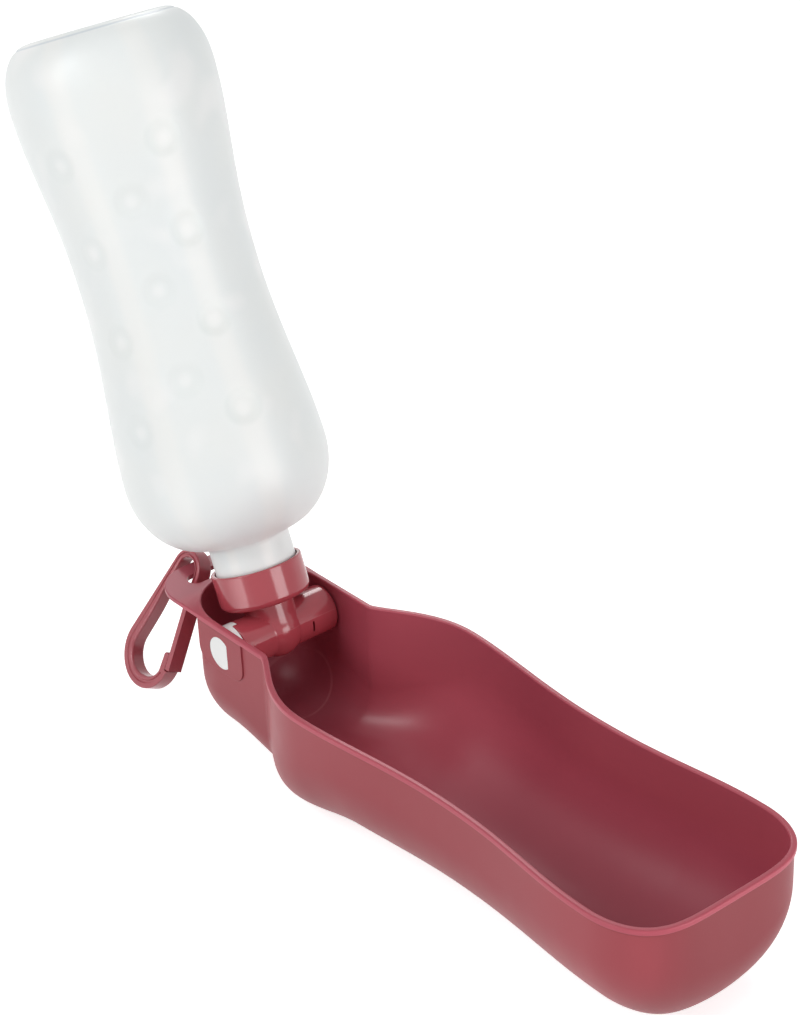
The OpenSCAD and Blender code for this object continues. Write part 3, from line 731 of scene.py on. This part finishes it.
CLIP_PLACE = Matrix.Translation(CLIP_HANG * MM) @ Matrix.Rotation(math.radians(90 - CLIP_LEAN), 4, "X")

down = FOOT.normalized()
across = Vector((-down.y, down.x))
lean = (MID_TOP - MID_BASE) / FOOT.length
right_side = lean * down + math.sqrt(1 - lean * lean) * across
left_side = lean * down - math.sqrt(1 - lean * lean) * across
right_angle, left_angle = (math.degrees(math.atan2(v.y, v.x)) for v in (right_side, left_side))
end_angle = 360 + math.degrees(math.asin((GATE_LOW - FOOT.y) / MID_BASE))


def clip_line():
    """The middle of the bar as (point, outward direction, half width)."""
    line = []
    for k in (0, 0.34, 0.67):
        line.append((BAR_START.lerp(MID_TOP * right_side, k), right_side, BAR_TOP / 2))
    for i in range(LEG_STEPS + 1):
        a = math.radians(right_angle + (left_angle - right_angle) * i / LEG_STEPS)
        out = Vector((math.cos(a), math.sin(a)))
        line.append((MID_TOP * out, out, BAR_TOP / 2))
    for i in range(1, LEG_STEPS):
        t = i / LEG_STEPS
        here = (MID_TOP * left_side).lerp(FOOT + MID_BASE * left_side, t)
        more = BAR_EXTRA * ease((t - EXTRA_START) / EXTRA_GROW) / 2
        line.append((here - left_side * more, left_side, (BAR_TOP + (BAR_BASE - BAR_TOP) * t) / 2 + more))
    for i in range(BASE_STEPS + 1):
        a = math.radians(left_angle + (end_angle - left_angle) * i / BASE_STEPS)
        out = Vector((math.cos(a), math.sin(a)))
        more = BAR_EXTRA * (1 - ease((i / BASE_STEPS - EXTRA_END) / EXTRA_FADE)) / 2
        line.append((FOOT + (MID_BASE - more) * out, out, BAR_BASE / 2 + more))
    return line


CHANNEL = [(0.62, 0), (0.52, -0.04), (0.45, -0.16), (0.4, -0.34), (0.3, -0.5), (0, -0.56)]
CHANNEL_U, CHANNEL_HALF_W, OUTER_ROUND, INNER_ROUND = -0.2, 1.7, 0.6, 0.95


def clip_section(half_width):
    """One turn round the bar, as (across, depth): rounded corners and a channel in both faces."""
    deep, scale = CLIP_DEPTH / 2, half_width / CHANNEL_HALF_W
    face = arc(half_width - OUTER_ROUND, deep - OUTER_ROUND, OUTER_ROUND, 0, 90, 6)
    groove = CHANNEL + [(-u, w) for u, w in reversed(CHANNEL[:-1])]
    face += [((u + CHANNEL_U) * scale, deep + w) for u, w in groove]
    face += arc(-half_width + INNER_ROUND, deep - INNER_ROUND, INNER_ROUND, 90, 180, 8)
    return face + [(u, -w) for u, w in reversed(face)]


line = clip_line()
points = []
for here, out, half_width in line:
    points += [(here.x + out.x * u, here.y + out.y * u, w) for u, w in clip_section(half_width)]
around = len(clip_section(1))
faces = tube_faces(len(line), around, False)
faces += [tuple(reversed(range(around))), tuple((len(line) - 1) * around + k for k in range(around))]
clip = solid("clip_frame", points, faces, CLIP_PLACE)
print("clip bar faces:", len(faces))

# %% [markdown]
# The bar ends in a nose that the arm closes against, and starts in a fork with a slot for the arm's tongue
# and a hole for its pin. They are plates in the plane of the clip, a hair thinner than the bar.

# %% Join the fork and the nose
NOSE_R, NOSE_TOP, NOSE_W, NOSE_GAP, NOSE_SUNK = 1.3, -30.6, 2.75, 0.4, 1.6
FORK_R, FORK_TOP, TONGUE_W, TONGUE_TOP, PIN_HOLE_R = 2.1, -4.5, 3.4, -5.1, 0.96
END_EDGE, END_SUNK = 0.35, 0.02
nose_x, nose_low, x, y = ARM_IN_X - NOSE_GAP, GATE_LOW - NOSE_SUNK, *ARM_PIVOT
nose = arc(nose_x - NOSE_R, NOSE_TOP - NOSE_R, NOSE_R, 0, 180, 12)
nose += [(nose_x - NOSE_W, nose_low), (nose_x, nose_low)]
fork = arc(x, y, FORK_R, 180, 360, 20) + [(x + FORK_R, FORK_TOP), (x - FORK_R, FORK_TOP)]
tongue = [(x - 5, y - 5), (x + 5, y - 5), (x + 5, TONGUE_TOP), (x - 5, TONGUE_TOP)]
deep = CLIP_DEPTH / 2 - END_SUNK
carve(clip, "UNION", *(prism("end", end, -deep, deep, END_EDGE, CLIP_PLACE) for end in (nose, fork)))
carve(clip, "DIFFERENCE", prism("tongue_slot", tongue, -TONGUE_W / 2, TONGUE_W / 2, place=CLIP_PLACE),
      prism("pin_hole", arc(x, y, PIN_HOLE_R, 0, 345, 23), -5, 5, place=CLIP_PLACE))
even(clip, 40)
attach(clip, "clip")
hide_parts("clip_body")
print("clip faces:", len(clip.data.polygons))

# %% [markdown]
# ## The small parts
# The valve core, its seal rings, the neck washer and the clip's arm have the right shape already. They keep
# the engineering mesh: its doubled edge points are welded, and the edges rounded as a mould would leave them.

# %% Soften the engineering parts
SOFT_EDGE = {"valve_core": 0.25, "neck_washer": 0.2, "clip_arm": 0.32}
for name, width in SOFT_EDGE.items():
    soften(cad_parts[name], width)
print("kept parts:", ", ".join(sorted(SOFT_EDGE)))

# %% [markdown]
# ## The maroon plastics
# The trough is injection moulded with a fine satin texture outside and a smoother skin inside, which looks
# deeper in colour. The two skins lie a wall's thickness apart, so the position alone is a poor guide. But
# a surface that faces the trough's middle line is inside and one that faces away is outside, and a dot
# product of the two directions gives that mask. The lip is told by its height below the rim.

# %% Masks of the trough
satin = Finish("trough_satin", paint(160, 78, 86), 0.42)
x, y, z = satin.axes()
face_x, face_y, face_z = satin.axes(satin.node("ShaderNodeNewGeometry", out="Normal"))
reach_x = x - x.held(SPINE_X, HEEL_S)
reach = (reach_x * reach_x + y * y) ** 0.5
inside = (face_z - (face_x * reach_x + face_y * y) / reach).over(-0.2, 0.3)
rim = z.over(RIM_Z - 2.2, RIM_Z - 1.8) * (1 - inside * (1 - face_z.over(0.1, 0.6)))
# Masks for painted light: a painted highlight on the lip's outward side, a painted sheen on the tab's top,
# and a painted shadow in the hollow under the lip.
rim_side_highlight = rim * (1 - face_z.over(0.3, 0.9))
tab_sheen = rim * (1 - x.over(-27.0, -22.0))
lip_shadow = z.over(RIM_Z - 3.0, RIM_Z - 2.3) * (1 - z.over(RIM_Z - 2.2, RIM_Z - 2.0)) * (1 - inside)
print("trough masks: inside, rim, rim side, tab top, crease")

# %% [markdown]
# A moulding's tone is never quite even, and the light on it isn't either. So a few soft masks mix in one
# more tone each, as painted light and shade: painted light high on the outside and at the near corner,
# painted shade at the far end, and painted light on the floor in front of the head and high on the far wall.

# %% Tones, painted light and painted shade of the trough
cloud = satin.noise(0.03, 2.0)
streak = satin.noise(0.09, 3.0)
# Masks for painted shade at the outer wall's far end, and for painted light at its near corner, on the floor
# in front of the head and high on the far wall.
far_end_shade = x.over(180.0, 232.0) * y.over(-32.0, -14.0)
near_corner_light = x.over(165.0, 205.0) * (1 - y.over(-34.0, -24.0))
out_of_shade = (x.over(12.0, 38.0) + 1 - y.over(-14.0, 3.0)).least(1.0)
throat_light = out_of_shade * (1 - x.over(38.0, 110.0))
far_wall_light = x.over(95.0, 140.0) * y.over(12.0, 28.0) * z.over(RIM_Z - 26.0, RIM_Z - 12.0)
# The outer wall's tone, with painted light high up and at the near corner and painted shade at the far end.
outer_tone = satin.mix(paint(157, 73, 80), paint(151, 68, 75), cloud)
for colour, mask in ((paint(166, 77, 85), z.over(14.0, 38.0) * 0.4), (paint(136, 58, 64), far_end_shade * 0.9),
                     (paint(174, 80, 88), near_corner_light * 0.6)):
    outer_tone = satin.mix(outer_tone, colour, mask)
# The inside's tone is partly its smoother skin and partly painted light: it is set brighter than the outside
# to lift the shaded inside, with more painted light on the floor in front of the head and high on the far
# wall.
inner_tone = satin.mix(paint(168, 74, 89), paint(158, 67, 82), cloud)
for colour, mask in ((paint(184, 87, 101), throat_light), (paint(186, 86, 99), far_wall_light * 0.5)):
    inner_tone = satin.mix(inner_tone, colour, mask)
tone = satin.mix(outer_tone, inner_tone, inside)
# Painted light on the lip, a painted highlight on its outward side, a painted shadow in the hollow under it,
# and a painted sheen on the tab.
for colour, mask in ((paint(178, 83, 95), rim * 0.75), (paint(204, 96, 114), rim_side_highlight * 0.42),
                     (paint(132, 58, 64), lip_shadow * 0.35), (paint(166, 84, 96), tab_sheen * 0.7)):
    tone = satin.mix(tone, colour, mask)
print("trough nodes so far:", len(satin.tree.nodes))

# %% [markdown]
# Two marks of the mould are easy to see in the head: a faint curved line where the plastic flowed round
# the gate, and its softer echo. Each is a thin shell round a point, so it follows the curved floor by
# itself. Tiny flecks, a little paler than the plastic, keep the wall from looking painted. A thin coat
# over the inside gives its smoother skin a soft shine, which fades towards the far end.

# %% Mould marks and grain
def mark(finish, centre, radius, width):
    """A thin ring on the surface: the places at a given distance from a point."""
    gap = finish.node("ShaderNodeVectorMath", {"operation": "DISTANCE"}, {0: finish.place, 1: centre},
                      out="Value")
    return 1 - (gap - radius).size().over(0.15 * width, width)


gate = mark(satin, (-5, 9, 9.5), 14.8, 0.7) * inside * streak.over(0.35, 0.6)
echo = mark(satin, (-14, 12, 12), 5.5, 1.6) * inside
fleck = satin.noise(1.3, 3.0).over(0.62, 0.78)
tone = satin.mix(tone, paint(196, 120, 128), gate * 0.4 + echo * 0.12 + fleck * 0.05)
rough = (inside * -0.07 + 0.43) + (streak - 0.5) * 0.1 + rim * -0.06
skin_shine = inside * (1 - rim) * (0.9 - x.over(50.0, 120.0) * 0.65)
satin.give(Base_Color=tone, Roughness=rough, Specular_IOR_Level=0.2)
satin.give(Coat_Weight=skin_shine, Coat_Roughness=0.35, Coat_IOR=1.5)
satin.bump(satin.noise(2.4, 3.0) * (1 - inside * 0.7) + gate * 0.5, 0.012)
dress(trough, satin)
print("trough nodes:", len(satin.tree.nodes))

# %% [markdown]
# The cap is the same maroon but polished, so it mirrors the soft boxes. Real polished mouldings are never
# perfectly even: the roughness drifts a little, and a faint parting line crosses the round end.

# %% Cap finish
gloss = Finish("cap_gloss", paint(158, 64, 74), 0.16)
drift = gloss.noise(0.08, 2.0)
x, y, s = gloss.axes()
seam = (1 - (s + 0.1).size().over(0.05, 0.22)) * x.over(1.0, 3.0)
tone = gloss.mix(paint(176, 74, 83), paint(168, 66, 76), drift)
gloss.give(Base_Color=gloss.mix(tone, paint(196, 110, 116), seam * 0.22))
gloss.give(Roughness=drift * 0.07 + 0.11 + seam * 0.1)
gloss.bump(gloss.noise(0.25, 1.0) + seam * 0.8, 0.015)
dress(connector, gloss)
print("cap nodes:", len(gloss.tree.nodes))

# %% [markdown]
# The clip is between the two: smooth enough for soft highlights along its edges, with a fine grain.

# %% Clip finish
dark = Finish("clip_satin", paint(150, 66, 74), 0.33)
drift = dark.noise(0.12, 2.0)
dark.give(Base_Color=dark.mix(paint(180, 86, 96), paint(166, 75, 85), drift))
dark.give(Roughness=drift * 0.08 + 0.2, Specular_IOR_Level=0.55)
dark.bump(dark.noise(1.8, 2.0), 0.01)
for part in (clip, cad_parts["clip_arm"]):
    dress(part, dark)
print("clip nodes:", len(dark.tree.nodes))

# %% [markdown]
# ## The milky bottle
# Low-density polyethylene scatters light inside its wall, so it is bright, soft and slightly blue where
# the skin is seen square on. Subsurface scattering gives the soft light. Each dimple gets painted shade in
# a ring, deeper on one side of the grip, and a painted highlight in its middle. To paint them, the
# nearest dimple's distance is worked out from the angle round the bottle and the place along it.

# %% Distance from the dimples
milk = Finish("bottle_milk", paint(240, 243, 243), 0.34)
x, y, s = milk.axes()
turn = (milk.angle(y, x) - (GRIP_ANGLE + 90)) % 180.0 - 90.0
MEAN_R, FAR_AWAY = 33.0, 40.0
TO_ARC = math.pi / 180 * MEAN_R


def pits(column, first_s, count):
    """Millimetres from the nearest dimple of a column, which is an angle from the grip's middle."""
    start, end = first_s - DIMPLE_PITCH / 2, first_s + (count - 0.5) * DIMPLE_PITCH
    along = (s - start) % DIMPLE_PITCH - DIMPLE_PITCH / 2
    outside = s.under(start) + s.above(end)
    sideways = column * TO_ARC
    return (along * along + sideways * sideways) ** 0.5 + outside * FAR_AWAY


outer_pits = pits(turn.size() - COLUMN_STEP, DIMPLE_S, 4)
middle_pits = pits(turn - MIDDLE_TURN, DIMPLE_S + DIMPLE_SHIFT, 3)
pit = outer_pits.least(middle_pits)
print("bottle nodes so far:", len(milk.tree.nodes))

# %% [markdown]
# The rest is soft drift, clouds and paler patches in the skin, with painted light and shade: a warm painted
# highlight strip at each side of the grip where the soft boxes mirror, and a bluish painted shade line in the
# groove round the foot.

# %% Bottle finish
# Painted shade in a ring round each dimple, deeper on one side of the grip, and a painted highlight in its
# middle.
pit_shade_ring = pit.over(2.0, 4.0) * (1 - pit.over(5.4, 7.4))
pit_highlight = 1 - pit.over(0.6, 3.0)
cloud = milk.noise(0.03, 2.0)
moved = milk.node("ShaderNodeVectorMath", {"operation": "ADD"}, {0: milk.place, 1: (31, 7, 0)})
patch = milk.noise(0.045, 1.0, moved)
# Painted highlight strips, one at each side of the grip, where the soft boxes mirror.
painted_glare = 1 - ((turn - 8.0).size() - 25.0).size().over(3.0, 11.0)
# Painted shade in the groove round the foot.
groove = (1 - ((x * x + y * y) ** 0.5 - GROOVE_R).size().over(0.2, 0.8)) * s.over(HEEL_S + 8.0, HEEL_S + 9.0)
tone = milk.mix(paint(234, 240, 241), paint(241, 243, 240), cloud)
for colour, mask in ((paint(248, 249, 248), patch.over(0.55, 0.75) * 0.7),
                     (paint(224, 230, 228), pit_shade_ring * (turn.over(10.0, 24.0) * 0.3 + 0.15)),
                     (paint(250, 251, 250), pit_highlight * 0.35),
                     (paint(247, 246, 242), painted_glare * 0.35), (paint(196, 204, 214), groove * 0.55)):
    tone = milk.mix(tone, colour, mask)
milk.give(Base_Color=tone, Roughness=milk.noise(0.1, 2.0) * 0.1 + 0.32, Specular_IOR_Level=0.4)
milk.give(Subsurface_Weight=0.3, Subsurface_Radius=(1.0, 1.0, 1.0), Subsurface_Scale=0.002)
milk.bump(milk.noise(0.35, 2.0), 0.02)
dress(bottle, milk)
print("bottle nodes:", len(milk.tree.nodes))

# %% [markdown]
# The last three finishes are plain: hard white plastic for the valve core, milky silicone for the washer and
# black rubber for the rings. Each still gets a cloud of a second tone and a grain, so that none is flat.

# %% Valve, washer and rubber finishes
PLAIN = {
    "valve_white": (0.25, paint(246, 247, 246), paint(238, 240, 239), 0.2, 1.5, 0.006),
    "washer_silicone": (0.5, paint(216, 218, 216), paint(204, 208, 207), 0.3, 2.5, 0.01),
    "ring_rubber": (0.45, paint(36, 36, 38), paint(50, 50, 52), 0.8, 3.0, 0.01)}
plain = {}
for name, (roughness, tone, second, cloud_scale, grain_scale, grain_depth) in PLAIN.items():
    plain[name] = Finish(name, tone, roughness)
    plain[name].give(Base_Color=plain[name].mix(tone, second, plain[name].noise(cloud_scale, 2.0)))
    plain[name].bump(plain[name].noise(grain_scale, 2.0), grain_depth)
dress(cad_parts["valve_core"], plain["valve_white"])
dress(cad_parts["neck_washer"], plain["washer_silicone"])
for name in ("seal_ring_near", "seal_ring_far"):
    dress(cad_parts[name], plain["ring_rubber"])
print("plain finishes:", ", ".join(PLAIN))

# %% [markdown]
# ## The studio
# The photograph is a product shot on white with two tall soft boxes: the polished cap shows one to the
# right of the camera and a fainter one to the left. The floor is white and takes a soft shadow. It glows a
# little, but only for rays that come from the camera or off a mirror or glass, so it lights nothing. Two
# bright cards, which only mirror-like surfaces see, lie on it beside and beyond the trough.

# %% Floor
GLOW, CARD_GLOW, SHEEN_SHARE, FLOOR_SIZE, FLOOR_DROP = 0.68, 3.5, 0.8, 8, 0.0004
bpy.ops.mesh.primitive_plane_add(size=FLOOR_SIZE, location=(0, 0, -FLOOR_DROP))
floor = bpy.context.object
floor.name = "studio_floor"
paper = Finish("studio_paper", (0.9, 0.9, 0.9), 0.9)
camera_ray = paper.node("ShaderNodeLightPath", out="Is Camera Ray")
mirrored = camera_ray.other("Is Glossy Ray")
seen = (camera_ray + mirrored + camera_ray.other("Is Transmission Ray")).least(1.0)
paper.give(Specular_IOR_Level=0.1)
x, y, z = paper.axes()
bearing, distance = paper.angle(y, x + 5.0), (x * x + y * y) ** 0.5
card = bearing.over(-125.0, -72.0) * bearing.under(-72.0) * distance.over(90.0, 130.0)
sheen = bearing.over(-2.0, 2.0) * bearing.under(27.0) * distance.over(300.0, 340.0)
cards = paper.mix((0, 0, 0), (1, 1, 1), (card + sheen * SHEEN_SHARE) * mirrored)
paper.give(Emission_Color=cards, Emission_Strength=CARD_GLOW)
surface = Signal(paper, paper.shader.outputs[0])
glow = paper.node("ShaderNodeEmission", {}, {"Color": (1, 1, 1, 1), "Strength": GLOW})
both = paper.node("ShaderNodeAddShader", {}, {0: surface, 1: glow})
lit = paper.node("ShaderNodeMixShader", {}, {0: seen, 1: surface, 2: both})
paper.tree.links.new(lit.socket, paper.tree.nodes["Material Output"].inputs["Surface"])
floor.data.materials.append(paper.material)
print("floor nodes:", len(paper.tree.nodes))

# %% [markdown]
# The air round the object is white to the camera and in reflections, but lights the object at a third of
# that, which leaves the soft boxes something to do.

# %% World
AIR_STRENGTH = 0.335
world = bpy.data.worlds.new("studio_air")
bpy.context.scene.world = world
world.use_nodes = True
air = world.node_tree
background = air.nodes["Background"]
background.inputs["Color"].default_value = (1, 1, 1, 1)
light_path = air.nodes.new("ShaderNodeLightPath")


def air_sum(operation, a, b):
    step = air.nodes.new("ShaderNodeMath")
    step.operation = operation
    for i, v in enumerate((a, b)):
        if isinstance(v, float):
            step.inputs[i].default_value = v
        else:
            air.links.new(v, step.inputs[i])
    return step.outputs[0]


shown = air_sum("ADD", light_path.outputs["Is Camera Ray"], light_path.outputs["Is Transmission Ray"])
shown = air_sum("MINIMUM", air_sum("ADD", shown, light_path.outputs["Is Glossy Ray"]), 1.0)
strength = air_sum("ADD", air_sum("MULTIPLY", shown, 1.0 - AIR_STRENGTH), AIR_STRENGTH)
air.links.new(strength, background.inputs["Strength"])
print("air strength:", AIR_STRENGTH)

# %% [markdown]
# The right and left boxes are the ones that the gloss shows, and the back and top ones fill in. An area
# lamp's power is spread over its size, so each is given as the brightness of its face: a larger box then
# gives more light without looking brighter in the gloss.

# %% Soft boxes
AIM = Vector((0.03, 0.0, 0.05))


def soft_box(name, azimuth, elevation, distance, size, radiance):
    """A lamp aimed at the object. Azimuth is counted from +X towards +Y, elevation above the table."""
    a, e = math.radians(azimuth), math.radians(elevation)
    data = bpy.data.lights.new(name, "AREA")
    data.shape, data.size, data.size_y = "RECTANGLE", size[0], size[1]
    data.energy = radiance * math.pi * size[0] * size[1]
    lamp = bpy.data.objects.new(name, data)
    bpy.context.scene.collection.objects.link(lamp)
    towards = Vector((math.cos(a) * math.cos(e), math.sin(a) * math.cos(e), math.sin(e)))
    lamp.location = AIM + distance * towards
    lamp.rotation_euler = (AIM - lamp.location).to_track_quat("-Z", "Y").to_euler()
    return lamp


soft_box("box_right", 13, 12, 1.4, (0.72, 0.68), 5.2)
soft_box("box_left", -96, 38, 1.35, (0.55, 0.8), 5.6)
soft_box("box_back", 142, 38, 1.4, (0.34, 0.5), 6.5)
soft_box("box_top", 20, 72, 1.5, (0.6, 0.6), 1.5)
print("lamps:", len(bpy.data.lights))

# %% [markdown]
# ## The camera
# The camera was fitted to the photograph from the bottle's circles and the trough's level rim. It looks
# down across the trough from its near right.

# %% Camera
LENS, SENSOR, CAMERA_PLACE = 89.2, 36, (0.62540, -0.43602, 0.50850)
camera_data = bpy.data.cameras.new("photo_camera")
camera_data.lens, camera_data.sensor_width = LENS, SENSOR
camera_data.clip_start, camera_data.clip_end = 0.01, 50
camera = bpy.data.objects.new("photo_camera", camera_data)
bpy.context.scene.collection.objects.link(camera)
bpy.context.scene.camera = camera
RIGHT, DOWN, AHEAD = (0.6373, 0.7696, -0.0398), (0.3524, -0.3370, -0.8731), (-0.6853, 0.5424, -0.4859)
turn = Matrix((RIGHT, [-v for v in DOWN], [-v for v in AHEAD])).transposed()
camera.matrix_world = Matrix.Translation(CAMERA_PLACE) @ turn.to_4x4()
bpy.context.scene.view_settings.view_transform = "Standard"
print("camera at:", [round(v, 3) for v in camera.location])
